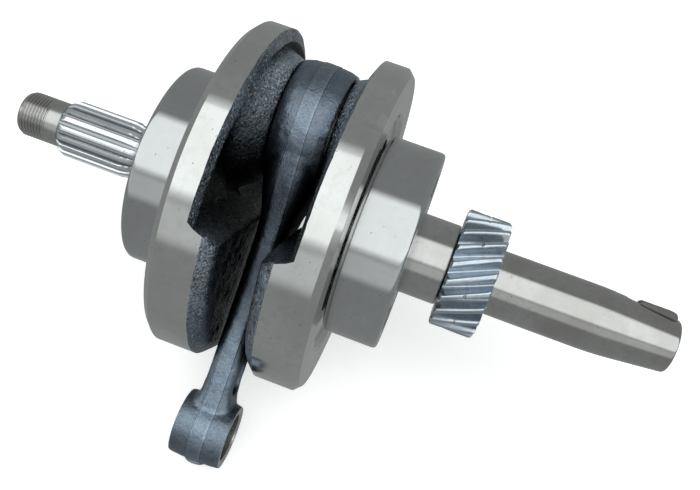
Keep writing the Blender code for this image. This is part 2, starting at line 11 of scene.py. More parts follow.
import bmesh
import bpy
import numpy as np
from mathutils import Matrix, Vector, noise


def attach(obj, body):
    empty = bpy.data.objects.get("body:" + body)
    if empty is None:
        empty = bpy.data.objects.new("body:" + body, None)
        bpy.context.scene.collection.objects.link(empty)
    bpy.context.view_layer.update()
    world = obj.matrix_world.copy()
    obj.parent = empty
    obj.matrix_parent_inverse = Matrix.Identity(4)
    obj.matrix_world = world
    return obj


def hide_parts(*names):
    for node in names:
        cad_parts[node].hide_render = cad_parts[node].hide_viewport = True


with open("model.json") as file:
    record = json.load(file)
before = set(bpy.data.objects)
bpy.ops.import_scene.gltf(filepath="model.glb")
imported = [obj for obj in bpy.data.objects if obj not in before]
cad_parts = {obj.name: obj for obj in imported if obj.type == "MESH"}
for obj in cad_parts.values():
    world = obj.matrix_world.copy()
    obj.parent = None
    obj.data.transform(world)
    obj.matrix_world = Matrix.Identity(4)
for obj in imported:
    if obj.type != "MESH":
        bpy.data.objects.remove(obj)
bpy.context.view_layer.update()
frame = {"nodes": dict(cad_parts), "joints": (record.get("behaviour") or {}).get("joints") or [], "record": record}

MM = 0.001
SHARP = radians(35.0)
THREAD_SHARE = 3  # columns of the spline for each column of the thread

# ---- where the frame puts things ----
joints = {joint["name"]: Vector(joint["pos_m"]) for joint in frame["joints"]}
PIN = joints["rod_swing"]
AXIS = joints["right_outer_ring_turn"].copy()
BEARING_X = (AXIS.x - PIN.x) / MM
AXIS.x = PIN.x
THROW = (PIN - AXIS).length / MM
PIN_ANGLE = atan2(PIN.z - AXIS.z, PIN.y - AXIS.y)
CRANK = Matrix.Translation(AXIS) @ Matrix.Rotation(PIN_ANGLE - pi / 2, 4, "X")
openings = frame["record"]["physics"]["openings"]
EYE_LOW, EYE_HIGH = (Vector(corner) for corner in openings[0]["box_m"])
EYE = (EYE_LOW + EYE_HIGH) / 2
ROD_LENGTH = hypot(EYE.y - PIN.y, EYE.z - PIN.z) / MM
ROD_TURN = atan2(EYE.z - PIN.z, EYE.y - PIN.y) + pi / 2
ROD = Matrix.Translation(PIN) @ Matrix.Rotation(ROD_TURN, 4, "X")
BIG_BORE, SMALL_BORE = 17.3, 7.5


# ---------------------------------------------------------------- node trees


def add(tree, kind, inputs=None, **settings):
    made = tree.nodes.new(kind)
    for key, value in settings.items():
        setattr(made, key, value)
    for key, value in (inputs or {}).items():
        if isinstance(value, bpy.types.NodeSocket):
            tree.links.new(value, made.inputs[key])
        else:
            made.inputs[key].default_value = value
    return made


def maths(tree, operation, a, b=0.0):
    return add(tree, "ShaderNodeMath", {0: a, 1: b}, operation=operation).outputs[0]


def mix(tree, factor, a, b, blend="MIX"):
    node = add(tree, "ShaderNodeMix", {0: factor, 6: a, 7: b}, data_type="RGBA", blend_type=blend)
    return node.outputs[2]


def ramp(tree, value, stops):
    node = add(tree, "ShaderNodeValToRGB", {0: value})
    elements = node.color_ramp.elements
    while len(elements) < len(stops):
        elements.new(0.5)
    for element, (place, colour) in zip(elements, stops):
        element.position = place
        element.color = (*colour, 1.0) if isinstance(colour, tuple) else (colour,) * 3 + (1.0,)
    return node.outputs[0]


def grain(tree, vector, scale, detail=2.0, rough=0.5):
    inputs = {"Vector": vector, "Scale": scale, "Detail": detail, "Roughness": rough}
    return add(tree, "ShaderNodeTexNoise", inputs).outputs[0]


TURN_STRETCH = 0.0006  # metres of texture for each radian, which draws lines out round the axis


def polar_coordinates(tree):
    """The place, (x, radius, stretched turn), x and radius about the piece's own X axis."""
    place = add(tree, "ShaderNodeTexCoord").outputs["Object"]
    x, y, z = add(tree, "ShaderNodeSeparateXYZ", {0: place}).outputs
    squares = [maths(tree, "MULTIPLY", value, value) for value in (y, z)]
    radius = maths(tree, "SQRT", maths(tree, "ADD", *squares))
    turn = maths(tree, "ARCTAN2", y, z)
    small_turn = maths(tree, "MULTIPLY", turn, TURN_STRETCH)
    rings = add(tree, "ShaderNodeCombineXYZ", {0: x, 1: radius, 2: small_turn}).outputs[0]
    return place, rings, x, radius


# Brightness across a rod's parting line, from one side of it to the other: a lighter trimmed band, with thin
# bright lines of painted highlight and thin dark lines of painted shade at its edges.
BAND_TONE_AND_PAINTED_EDGE_LIGHT = [
    (0.210, (0.50, 0.50, 0.50)),
    (0.236, (0.24, 0.24, 0.24)),
    (0.250, (0.95, 0.98, 1.00)),
    (0.268, (0.30, 0.30, 0.30)),
    (0.290, (0.60, 0.60, 0.60)),
    (0.700, (0.64, 0.64, 0.64)),
    (0.742, (0.70, 0.70, 0.70)),
    (0.752, (1.00, 1.00, 1.00)),
    (0.762, (0.34, 0.34, 0.34)),
    (0.790, (0.50, 0.50, 0.50)),
]


# Near black that the painted shade in hollows darkens towards.
PAINTED_SHADE_BLACK = (0.008, 0.009, 0.010, 1.0)
STAIN = (0.05, 0.045, 0.04, 1.0)
RING_SCALE = 2600.0
ROOT_SHADE_FADE = 1000.0  # per metre of radius above the bottom of a tooth, over which the painted shade there fades
# Metres the occlusion looks out for the painted shade in hollows.
CAVITY_SHADE_REACH = 0.06
LINE_SWAY = 0.0012  # metres a parting line wanders to one side


def painted_root_shade(tree, colour, radius, root, dark):
    """Painted shade: darkens the bottoms between teeth, up from the radius root."""
    above = maths(tree, "MULTIPLY", maths(tree, "SUBTRACT", radius, root), ROOT_SHADE_FADE)
    depth = ramp(tree, above, [(0.0, 1.0), (0.6, 0.0)])
    return mix(tree, maths(tree, "MULTIPLY", depth, 0.62), colour, (*(v * 0.1 for v in dark), 1.0))


def painted_cavity_shade(tree, colour, cavity_shade):
    """Painted shade: darkens the colour towards near black where the occlusion finds that little light reaches."""
    shade_node = add(tree, "ShaderNodeAmbientOcclusion", {"Distance": CAVITY_SHADE_REACH}, samples=6)
    stops = [(0.55 * cavity_shade - 0.24, 0.98), (cavity_shade - 0.22, 0.0)]
    return mix(tree, ramp(tree, shade_node.outputs["AO"], stops), colour, PAINTED_SHADE_BLACK)


def parting_band_and_painted_edge_light(tree, colour, place, x, half_width):
    """The lighter trimmed band, with painted highlight and painted shade lines along its two edges, one of them
    wandering a little.
    """
    wander = maths(tree, "SUBTRACT", grain(tree, place, 260.0, 3.0, 0.6), 0.5)
    sway = maths(tree, "MULTIPLY", wander, maths(tree, "LESS_THAN", x, 0.0))
    at = maths(tree, "ADD", x, maths(tree, "MULTIPLY", sway, LINE_SWAY))
    across = maths(tree, "ADD", maths(tree, "DIVIDE", at, 4 * half_width), 0.5)
    doubled = mix(tree, 1.0, colour, (2.0, 2.0, 2.0, 1.0), "MULTIPLY")
    return mix(tree, 1.0, doubled, ramp(tree, across, BAND_TONE_AND_PAINTED_EDGE_LIGHT), "MULTIPLY")


def steel(
    name,
    light,
    dark,
    roughness=0.2,
    anisotropic=0.0,
    rings=0.0,
    cast=0.0,
    speck=0.0,
    edge=0.25,
    band=0.0,
    cavity_shade=0.0,
    root=0.0,
):
    """One steel finish. rings is the depth of turned or ground lines, cast of a forged skin's
    pits, whose low places are darkened as painted shade, speck the strength of bright grain, edge
    the wear along edges, cavity_shade the strength of the painted shade where little light falls,
    band the half width in metres of a lighter trimmed band with thin painted highlight and painted
    shade lines at its edges, and root the radius in metres of the bottoms between teeth, which
    get painted shade."""
    material = bpy.data.materials.new(name)
    material.use_nodes = True
    tree = material.node_tree
    shader = tree.nodes["Principled BSDF"]
    place, lines_at, x, radius = polar_coordinates(tree)
    cloud = grain(tree, place, 55.0, 4.0, 0.6)
    colour = mix(tree, ramp(tree, cloud, [(0.32, 0.0), (0.68, 1.0)]), (*dark, 1.0), (*light, 1.0))
    smudge = grain(tree, place, 420.0, 3.0, 0.6)
    colour = mix(tree, ramp(tree, smudge, [(0.25, 0.0), (0.5, 1.0)]), (*dark, 1.0), colour)
    stain = ramp(tree, grain(tree, place, 900.0, 2.0), [(0.70, 0.0), (0.76, 1.0)])
    colour = mix(tree, maths(tree, "MULTIPLY", stain, 0.5), colour, STAIN)
    wear = ramp(tree, add(tree, "ShaderNodeNewGeometry").outputs["Pointiness"], [(0.51, 0.0), (0.58, 1.0)])
    worn = tuple(min(1.0, value * 1.25 + 0.08) for value in light)
    colour = mix(tree, maths(tree, "MULTIPLY", wear, edge), colour, (*worn, 1.0))
    spread = maths(tree, "MULTIPLY_ADD", smudge, roughness * 0.6)
    spread.node.inputs[2].default_value = roughness * 0.7
    height = maths(tree, "MULTIPLY", grain(tree, place, 1100.0, 2.0), 0.005)
    if rings:
        fine = grain(tree, lines_at, RING_SCALE, 3.0, 0.7)
        height = maths(tree, "ADD", height, maths(tree, "MULTIPLY", fine, rings))
        tint = ramp(tree, fine, [(0.3, 0.0), (0.7, 1.0)])
        colour = mix(tree, maths(tree, "MULTIPLY", tint, 0.22), colour, (*dark, 1.0))
    if cast:
        dimple = grain(tree, place, 1500.0, 3.0, 0.65)
        lump = grain(tree, place, 480.0, 2.0, 0.5)
        skin = maths(tree, "ADD", maths(tree, "MULTIPLY", lump, 0.7), dimple)
        height = maths(tree, "ADD", height, maths(tree, "MULTIPLY", skin, cast))
        # Painted shade: the low places of the dimples are darkened.
        pit_shade = ramp(tree, dimple, [(0.38, 1.0), (0.52, 0.0)])
        depth = maths(tree, "MULTIPLY", pit_shade, min(0.7, cast))
        colour = mix(tree, depth, colour, (*(v * 0.3 for v in dark), 1.0))
        bright = ramp(tree, grain(tree, place, 1900.0, 1.0), [(0.58, 0.0), (0.68, 1.0)])
        colour = mix(tree, maths(tree, "MULTIPLY", bright, speck), colour, (*worn, 1.0))
    # Painted shade in the bottoms between teeth.
    if root:
        colour = painted_root_shade(tree, colour, radius, root, dark)
    # Painted shade in hollows, where the occlusion finds little light.
    if cavity_shade:
        colour = painted_cavity_shade(tree, colour, cavity_shade)
    # A lighter trimmed band, edged with painted highlight and painted shade lines.
    if band:
        colour = parting_band_and_painted_edge_light(tree, colour, place, x, band)
    bump = add(tree, "ShaderNodeBump", {"Strength": 1.0, "Distance": 0.0004, "Height": height})
    tree.links.new(colour, shader.inputs["Base Color"])
    tree.links.new(spread, shader.inputs["Roughness"])
    tree.links.new(bump.outputs[0], shader.inputs["Normal"])
    shader.inputs["Metallic"].default_value = 1.0
    if anisotropic:
        shader.inputs["Anisotropic"].default_value = anisotropic
        shader.inputs["Anisotropic Rotation"].default_value = 0.25
        tangent = add(tree, "ShaderNodeTangent", direction_type="RADIAL", axis="X")
        tree.links.new(tangent.outputs[0], shader.inputs["Tangent"])
    return material


# ---------------------------------------------------------------- mesh making


def shade(mesh):
    mesh.polygons.foreach_set("use_smooth", [True] * len(mesh.polygons))
    mesh.set_sharp_from_angle(angle=SHARP)
    mesh.update()


def tidy(mesh):
    """Welds doubled points, drops collapsed faces and turns every face outwards."""
    work = bmesh.new()
    work.from_mesh(mesh)
    bmesh.ops.remove_doubles(work, verts=work.verts, dist=2e-6)
    bmesh.ops.dissolve_degenerate(work, edges=work.edges, dist=1e-7)
    bmesh.ops.recalc_face_normals(work, faces=work.faces)
    work.to_mesh(mesh)
    work.free()


def place(name, mesh, matrix, looks):
    obj = bpy.data.objects.new(name, mesh)
    bpy.context.scene.collection.objects.link(obj)
    obj.matrix_world = matrix
    for look in looks:
        mesh.materials.append(look)
    return obj


def ring(x, radius, angles, side=1):
    """Points (n, 3) in metres. Angle 0 is +Z, turning towards -Y."""
    x = np.broadcast_to(x, angles.shape) * side
    return np.stack([x, -radius * np.sin(angles), radius * np.cos(angles)], axis=1) * MM


def skin(name, rings, gaps, wrap=False, caps=False):
    """Faces between neighbouring rings; gaps gives each row's material index. A ring may have a
    whole number of times fewer points than the ring before it."""
    starts = np.cumsum([0] + [len(points) for points in rings]).tolist()
    faces, index = [], []
    for k in range(len(rings) if wrap else len(rings) - 1):
        after = (k + 1) % len(rings)
        count, fewer = len(rings[k]), len(rings[after])
        step = count // fewer
        for j in range(fewer):
            fine = [starts[k] + (j * step + i) % count for i in range(step + 1)]
            faces.append((*fine, starts[after] + (j + 1) % fewer, starts[after] + j))
        index += [gaps[k]] * fewer
    if caps:
        faces += [tuple(range(starts[1])), tuple(range(starts[-2], starts[-1]))]
        index += [gaps[0], gaps[-1]]
    mesh = bpy.data.meshes.new(name)
    mesh.from_pydata(np.concatenate(rings).tolist(), [], faces)
    mesh.polygons.foreach_set("material_index", index)
    tidy(mesh)
    shade(mesh)
    return mesh


ARC_STEPS = 4
SUPPORT = 0.12  # mm from a rounded corner to the extra point that keeps its face flat


def rounded(profile, closed=False):
    """(x, r, fillet, look) corners turned into (x, r, look) points along small arcs."""
    points = []
    count = len(profile)
    for i, (x, r, fillet, look) in enumerate(profile):
        ends = not closed and i in (0, count - 1)
        if not fillet or ends:
            points.append((x, r, look))
            continue
        corner = np.array((x, r))
        before = np.array(profile[i - 1][:2]) - corner
        after = np.array(profile[(i + 1) % count][:2]) - corner
        long_before, long_after = np.linalg.norm(before), np.linalg.norm(after)
        before, after = before / long_before, after / long_after
        half = np.arccos(np.clip(before @ after, -1, 1)) / 2
        reach = min(fillet / tan(half), 0.47 * long_before, 0.47 * long_after)
        if long_before > 2.4 * (reach + SUPPORT):
            points.append((*(corner + before * (reach + SUPPORT)), look))
        for k in range(ARC_STEPS + 1):
            t = k / ARC_STEPS
            spot = corner + before * reach * (1 - t) ** 2 + after * reach * t**2
            points.append((*spot, look))
        if long_after > 2.4 * (reach + SUPPORT):
            points.append((*(corner + after * (reach + SUPPORT)), look))
    return points


def lathe(name, profile, segments, side=1, closed=False):
    """Turns (x, r, fillet, look) corners about X; look is the material that follows the corner."""
    angles = 2 * pi * np.arange(segments) / segments
    points = rounded(profile, closed)
    rings = [ring(x, r, angles, side) for x, r, _ in points]
    return skin(name, rings, [look for _, _, look in points], wrap=closed)


def cut(obj, mesh, operation="DIFFERENCE", at=None):
    """Applies a Boolean with a throw-away cutter drawn in obj's own frame."""
    cutter = bpy.data.objects.new("cutter", mesh)
    bpy.context.scene.collection.objects.link(cutter)
    cutter.matrix_world = obj.matrix_world @ (at or Matrix())
    modifier = obj.modifiers.new("cut", "BOOLEAN")
    modifier.operation, modifier.solver, modifier.object = operation, "EXACT", cutter
    settle(obj)
    bpy.data.objects.remove(cutter)
    shade(obj.data)


def settle(obj):
    """Makes the modifiers part of the mesh."""
    bpy.context.view_layer.update()
    graph = bpy.context.evaluated_depsgraph_get()
    mesh = bpy.data.meshes.new_from_object(obj.evaluated_get(graph))
    obj.modifiers.clear()
    obj.data = mesh


def box_mesh(name, low, high, look=0):
    corners = [(x, y, z) for x in (low[0], high[0]) for y in (low[1], high[1]) for z in (low[2], high[2])]
    faces = [(0, 1, 3, 2), (4, 6, 7, 5), (0, 4, 5, 1), (2, 3, 7, 6), (0, 2, 6, 4), (1, 5, 7, 3)]
    mesh = bpy.data.meshes.new(name)
    mesh.from_pydata([tuple(v * MM for v in corner) for corner in corners], [], faces)
    mesh.polygons.foreach_set("material_index", [look] * 6)
    tidy(mesh)
    return mesh


def finish_piece(obj, body, slot, *nodes):
    """Turns the mesh into the row frame about its own origin, then ties the piece to the frame."""
    obj.data.transform(obj.matrix_world.to_3x3().to_4x4())
    obj.matrix_world = Matrix.Translation(obj.matrix_world.translation)
    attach(obj, body)
    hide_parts(*nodes)


# ---------------------------------------------------------------- finishes

GROUND, FORGED, TURNED, SPLINE, THREAD = range(5)
crank_looks = [
    steel("ground_rim", (0.68, 0.69, 0.68), (0.58, 0.58, 0.56), 0.12, 0.9, rings=0.006),
    steel(
        "forged_web",
        (0.52, 0.60, 0.68),
        (0.15, 0.17, 0.19),
        0.28,
        cast=1.2,
        speck=0.9,
        edge=0.6,
        cavity_shade=0.95,
    ),
    steel("turned_shaft", (0.58, 0.58, 0.575), (0.46, 0.45, 0.43), 0.15, 0.85, rings=0.008),
    steel("rolled_spline", (0.88, 0.92, 0.96), (0.76, 0.79, 0.82), 0.22, edge=0.3, root=0.0078),
    steel("cut_thread", (0.58, 0.58, 0.57), (0.46, 0.45, 0.43), 0.22, edge=0.15),
]
rod_looks = [
    steel(
        "forged_rod",
        (0.23, 0.29, 0.36),
        (0.17, 0.20, 0.24),
        0.33,
        cast=0.30,
        speck=0.16,
        edge=0.6,
        band=0.0022,
        cavity_shade=0.72,
    ),
    steel("bored_eye", (0.60, 0.60, 0.60), (0.48, 0.48, 0.47), 0.24, rings=0.02),
]
ring_look = steel("bearing_ring", (0.58, 0.59, 0.60), (0.52, 0.52, 0.52), 0.12, 0.85, rings=0.004)
ball_look = steel("bearing_ball", (0.75, 0.76, 0.77), (0.68, 0.69, 0.70), 0.09)
cage_look = steel("pressed_cage", (0.62, 0.60, 0.56), (0.46, 0.44, 0.41), 0.30, edge=0.4)
gear_look = steel("cut_gear", (0.60, 0.66, 0.72), (0.42, 0.47, 0.52), 0.22, edge=0.9, rings=0.003)
key_look = steel("drawn_key", (0.13, 0.12, 0.11), (0.085, 0.08, 0.075), 0.30, edge=0.5, rings=0.01)
pin_look = steel("ground_pin", (0.62, 0.63, 0.63), (0.52, 0.52, 0.51), 0.18, rings=0.008)


# ---------------------------------------------------------------- crank halves

WEB_RADIUS, WEB_OUTER = 51.0, 23.3
PIN_RADIUS, PIN_HOLE, PIN_BORE, PIN_END = 13.0, 13.03, 4.5, 21.9
TO_PIN = Matrix.Translation((0, 0, THROW * MM))
JOURNAL, SHAFT = 12.5, 10.0

# The inner face: distances from the rod's middle plane, the radii where slopes start, and slopes.
POCKET_X, POCKET_RADIUS, SCARP_SLOPE = 17.2, 45.0, 1.79
LAND_X, LAND_RADIUS, LAND_SLOPE = 12.9, 47.4, 0.444
WEIGHT_X, WEIGHT_RADIUS, WEIGHT_SLOPE = 5.8, 47.2, 1.026
SHOULDER_X, SHOULDER_Z, SHOULDER_SLOPE = 12.1, -2.2, 3.4
BOSS_X, BOSS_EDGE_X, BOSS_RADIUS, BOSS_SLOPE = 8.4, 10.2, 19.8, 1.431
BOSS_END_RADIUS, BOSS_END_SLOPE = 43.0, 1.2
CLEAR_OF_ROD = 21.0  # mm from the crankpin's axis
WEB_ROUGHNESS = ((0.16, 0.16), (0.45, 0.12), (1.1, 0.06))


def smooth_min(a, b, reach):
    near = np.maximum(reach - np.abs(a - b), 0.0) / reach
    return np.minimum(a, b) - near * near * reach / 4


def smooth_max(a, b, reach):
    return -smooth_min(-a, -b, reach)


def skin_noise(x, y, z, amounts):
    """Sum of smooth noise at (1 / wavelength, depth) pairs, for arrays of places in mm."""
    total = np.zeros(len(x))
    for i, point in enumerate(zip(x, y, z)):
        place_here = Vector(point)
        total[i] = sum(depth * noise.noise(place_here * scale) for scale, depth in amounts)
    return total


def inner_face(radius, angles, side):
    """Distance from the rod's middle plane to a web's forged inner face."""
    y, z = -radius * np.sin(angles), radius * np.cos(angles)
    pocket, weight_face, boss_face = (np.full_like(y, x) for x in (POCKET_X, WEIGHT_X, BOSS_X))
    scarp = POCKET_X - (radius - POCKET_RADIUS) * SCARP_SLOPE
    land = LAND_X + (radius - LAND_RADIUS) * LAND_SLOPE
    thin = smooth_max(smooth_min(pocket, scarp, 2.4), land, 1.2)
    weight_edge = np.full_like(y, WEIGHT_X + (radius - WEIGHT_RADIUS) * WEIGHT_SLOPE)
    weight = smooth_max(weight_face, weight_edge, 1.6)
    shoulder = SHOULDER_X + (z - SHOULDER_Z) * SHOULDER_SLOPE
    block = smooth_max(weight, shoulder, 0.9)
    from_pin = np.hypot(y, z - THROW)
    boss = smooth_max(boss_face, BOSS_EDGE_X + (from_pin - BOSS_RADIUS) * BOSS_SLOPE, 1.2)
    boss += BOSS_END_SLOPE * max(radius - BOSS_END_RADIUS, 0.0)
    face = smooth_min(smooth_min(thin, block, 1.0), boss, 3.0)
    rough = skin_noise(y, z, np.full_like(y, 40.0 * side), WEB_ROUGHNESS)
    return np.maximum(face + rough, np.where(from_pin < CLEAR_OF_ROD, BOSS_X - 0.05, 5.5))


def web_rings(side, angles):
    """Rings from the middle of the inner face out over its edge, all forged."""
    radii = [0.0, 1.5, *np.linspace(3.0, 41.0, 39), *np.linspace(41.6, WEB_RADIUS, 20)]
    return [ring(inner_face(radius, angles, side), radius, angles, side) for radius in radii]


SPLINE_TEETH, SPLINE_PITCH, SPLINE_PHASE = 18, 20.0, 3.6
TOOTH_COLUMNS = (-10, -7.3, -6.7, -5.8, -4.9, -4.1, -2.5, -0.8, 0.8, 2.5, 4.1, 4.9, 5.8, 6.7, 7.3, 8.7)
TOOTH_DEGREES = (0, 4.1, 4.9, 6.7, 7.3, 10)
TOOTH_RADII = (8.95, 8.93, 8.72, 7.86, 7.72, 7.70)
NECK = 7.7
RUN_OUT_X, RUN_OUT_LENGTH, RUN_OUT_RISE = 47.4, 5.0, 1.25
SPLINE_END, FAR_LENGTH, FAR_RADIUS, FAR_RISE = 74.1, 2.6, 7.3, 1.75


def spline_radius(angles):
    """Tooth profile of the spline as radius against angle, with its eased corners."""
    half = SPLINE_PITCH / 2
    turn = (np.degrees(angles) - SPLINE_PHASE + half) % SPLINE_PITCH - half
    return np.interp(np.abs(turn), TOOTH_DEGREES, TOOTH_RADII)


def spline_rings(angles):
    """Rings from the neck over the eighteen teeth to the far chamfer."""
    teeth = spline_radius(angles)
    rings = []
    for x in [*np.linspace(46.6, 53.4, 12), 58.0, 64.0, 70.4, *np.linspace(71.2, SPLINE_END, 8)]:
        start = NECK + RUN_OUT_RISE * np.clip((x - RUN_OUT_X) / RUN_OUT_LENGTH, 0.0, 1.0) ** 0.7
        end = FAR_RADIUS + FAR_RISE * np.clip((SPLINE_END - x) / FAR_LENGTH, 0.0, 1.0) ** 0.75
        rings.append(ring(x, np.minimum(teeth, min(start, end)), angles, -1))
    return rings


THREAD_RADIUS, THREAD_DEPTH, THREAD_PITCH = 7.0, 0.56, 1.0
THREAD_START, THREAD_END, THREAD_CHAMFER_X = 78.4, 87.46, 86.2
STEPS_PER_TURN = 16


def thread_rings(angles):
    """Plain neck, then a right-hand thread of 1 mm pitch fading out at both ends."""
    fewer = angles[::THREAD_SHARE]
    rings = [ring(74.12, THREAD_RADIUS, angles, -1), ring(76.4, THREAD_RADIUS, angles, -1)]
    rings.append(ring(78.3, THREAD_RADIUS, fewer, -1))
    for x in np.arange(THREAD_START, THREAD_END, THREAD_PITCH / STEPS_PER_TURN):
        wave = np.abs((x + fewer / (2 * pi)) % THREAD_PITCH - 0.5) * 2
        depth = THREAD_DEPTH * np.clip(1.3 * wave - 0.22, 0.0, 1.0)
        fade = min(1.0, x - 78.2)
        top = THREAD_RADIUS - max(0.0, x - THREAD_CHAMFER_X) * 0.55
        rings.append(ring(x, np.minimum(THREAD_RADIUS - depth * fade, top), fewer, -1))
    return rings


def crank_half(name, side):
    """A web with its half of the shaft, as one skin from the inner face to the shaft's end."""
    teeth = np.arange(SPLINE_TEETH)[:, None] * SPLINE_PITCH + SPLINE_PHASE
    angles = np.radians(teeth + np.array(TOOTH_COLUMNS)).ravel()
    rings = web_rings(side, angles)
    looks = [FORGED] * (len(rings) - 1) + [GROUND, GROUND]
    rings.append(rings[-1] + np.array((0.3 * side * MM, 0, 0)))
    outside = [
        (WEB_OUTER - 2.0, WEB_RADIUS, 0.25, GROUND),
        (WEB_OUTER, WEB_RADIUS - 2.0, 0.25, GROUND),
        (WEB_OUTER, 38.3, 0.1, GROUND),
        (WEB_OUTER - 0.18, 38.1, 0.05, TURNED),
        (WEB_OUTER - 0.18, 36.9, 0.1, GROUND),
        (WEB_OUTER - 1.4, 36.4, 0.5, GROUND),
        (WEB_OUTER - 1.4, 17.6, 0.4, GROUND),
        (WEB_OUTER - 0.6, 17.2, 0.2, GROUND),
        (WEB_OUTER - 0.6, JOURNAL, 0.1, TURNED),
    ]
    if side > 0:
        outside += [
            (51.6, JOURNAL, 0.6, TURNED),
            (51.6, SHAFT, 0.3, TURNED),
            (99.6, SHAFT, 110.0, TURNED),
            (120.9, 7.95, 0.9, TURNED),
            (120.9, 4.9, 0.15, TURNED),
            (120.2, 4.2, 0.15, THREAD),
            (99.6, 4.2, 0.4, THREAD),
            (97.9, 0.0, 0.0, THREAD),
        ]
    else:
        outside += [(41.3, JOURNAL, 0.6, TURNED), (41.3, 7.7, 0.6, TURNED), (46.0, 7.7, 0.0, SPLINE)]
    start = [(WEB_OUTER - 3.0, WEB_RADIUS, 0.0, GROUND)]
    for x, radius, look in rounded(start + outside)[1:]:
        rings.append(ring(x, radius, angles, side))
        looks.append(look)
    if side < 0:
        for more, look in ((spline_rings(angles), SPLINE), (thread_rings(angles), THREAD)):
            rings += more
            looks += [look] * len(more)
        end = [(87.5, 6.3), (87.9, 5.9), (87.9, 2.4), (87.6, 2.0), (85.0, 0.9), (84.4, 0.0)]
        fewer = angles[::THREAD_SHARE]
        rings += [ring(x, radius, fewer, -1) for x, radius in end]
        looks += [THREAD] * len(end)
    half = place(name, skin(name, rings, looks), CRANK, crank_looks)
    hole = [(x, radius, 0, GROUND) for x, radius in ((6, 0), (6, PIN_HOLE), (30, PIN_HOLE), (30, 0))]
    cut(half, lathe("hole", hole, 96, side), at=TO_PIN)
    return half


# ---- key and keyway ----
KEY_TURN = Matrix.Rotation(radians(-9.0), 4, "X")


def outline_prism(name, outline, half_width, bevel, look=0):
    """Extrudes an (x, z) outline along Y and eases its edges."""
    rings = [np.array([(x, y, z) for x, z in outline]) * MM for y in (-half_width, half_width)]
    mesh = skin(name, rings, [look], caps=True)
    work = bmesh.new()
    work.from_mesh(mesh)
    edges = [edge for edge in work.edges if edge.calc_face_angle(0.0) > 0.5]
    if bevel:
        bmesh.ops.bevel(work, geom=edges, offset=bevel * MM, segments=3, profile=0.5, affect="EDGES")
    work.to_mesh(mesh)
    work.free()
    shade(mesh)
    return mesh


left_half = crank_half("left_crank_half_detail", -1)
finish_piece(left_half, "crank", "crank_steel", "left_crank_half")

right_half = crank_half("right_crank_half_detail", 1)
keyway = [(104.0, 9.1), (104.6, 7.4), (106.4, 5.6), (119.9, 5.6), (119.9, 12.0), (104.0, 12.0)]
cut(right_half, outline_prism("keyway", keyway, 2.06, 0.0, TURNED), at=KEY_TURN)
finish_piece(right_half, "crank", "crank_steel", "right_crank_half")

KEY_START, KEY_END, KEY_LOW, KEY_HIGH, KEY_ROUND = 107.6, 119.5, 5.8, 10.0, 1.9
arc = [radians(90 * k / 5) for k in range(6)]
key_top = [(KEY_END - KEY_ROUND * (1 - cos(a)), KEY_HIGH - KEY_ROUND * (1 - sin(a))) for a in arc]
key = [(KEY_START, KEY_LOW), (KEY_END, KEY_LOW), *key_top]
key += [(KEY_START + 1.0, KEY_HIGH), (KEY_START + 0.2, KEY_HIGH - 0.5), (KEY_START, KEY_HIGH - 1.0)]
key = place("flywheel_key_detail", outline_prism("key", key, 2.0, 0.22), CRANK @ KEY_TURN, [key_look])
finish_piece(key, "crank", "key_steel", "flywheel_key")

pin_profile = [
    (-PIN_END, PIN_RADIUS, 0.5, 0),
    (PIN_END, PIN_RADIUS, 0.5, 0),
    (PIN_END, PIN_BORE, 0.4, 0),
    (-PIN_END, PIN_BORE, 0.4, 0),
]
pin_mesh = lathe("crankpin", pin_profile, 96, closed=True)
pin = place("crankpin_detail", pin_mesh, CRANK @ TO_PIN, [pin_look])
finish_piece(pin, "crank", "crank_steel", "crankpin")


# ---------------------------------------------------------------- timing gear

TEETH, MODULE, HELIX = 21, 1.45, radians(25.0)
PRESSURE_ANGLE, GEAR_PHASE, DEDENDUM = radians(20.0), radians(6.8), 1.25
GEAR_START, GEAR_END = 51.9, 65.4
GEAR_WIDTH = GEAR_END - GEAR_START
GEAR_BORE = 10.32
PITCH_RADIUS = TEETH * MODULE / cos(HELIX) / 2


def gear_ring(x, drop, nick):
    """One section: root fillet, flank and tip land for each tooth; drop chamfers the tips."""
    tip, root = PITCH_RADIUS + MODULE, PITCH_RADIUS - DEDENDUM * MODULE
    lean = tan(PRESSURE_ANGLE) / cos(HELIX)
    quarter = pi / TEETH / 2
    shape = [(root, 1.98), (root + 0.08, 1.78), (root + 0.35, 1.62)]
    flank = np.linspace(root + 0.75, tip - 0.22, 5)
    shape += [(r, (quarter - (r - PITCH_RADIUS) * lean / PITCH_RADIUS) / quarter) for r in flank]
    edge = shape[-1][1]
    shape += [(tip - 0.07, edge - 0.13), (tip, edge - 0.30), (tip, 0.0)]
    twist = GEAR_PHASE - (x - GEAR_START) * tan(HELIX) / PITCH_RADIUS
    radii, turns = [], []
    for k in range(TEETH):
        centre = 2 * pi * k / TEETH + twist
        dent = nick * (0.5 + 0.5 * sin(k * 2.4))
        top = tip - drop - dent
        radii += [min(r, top) for r, _ in shape] + [min(r, top) for r, _ in shape[-2::-1]]
        turns += [centre - share * quarter for _, share in shape]
        turns += [centre + share * quarter for _, share in shape[-2::-1]]
    return ring(x, np.array(radii), np.array(turns))


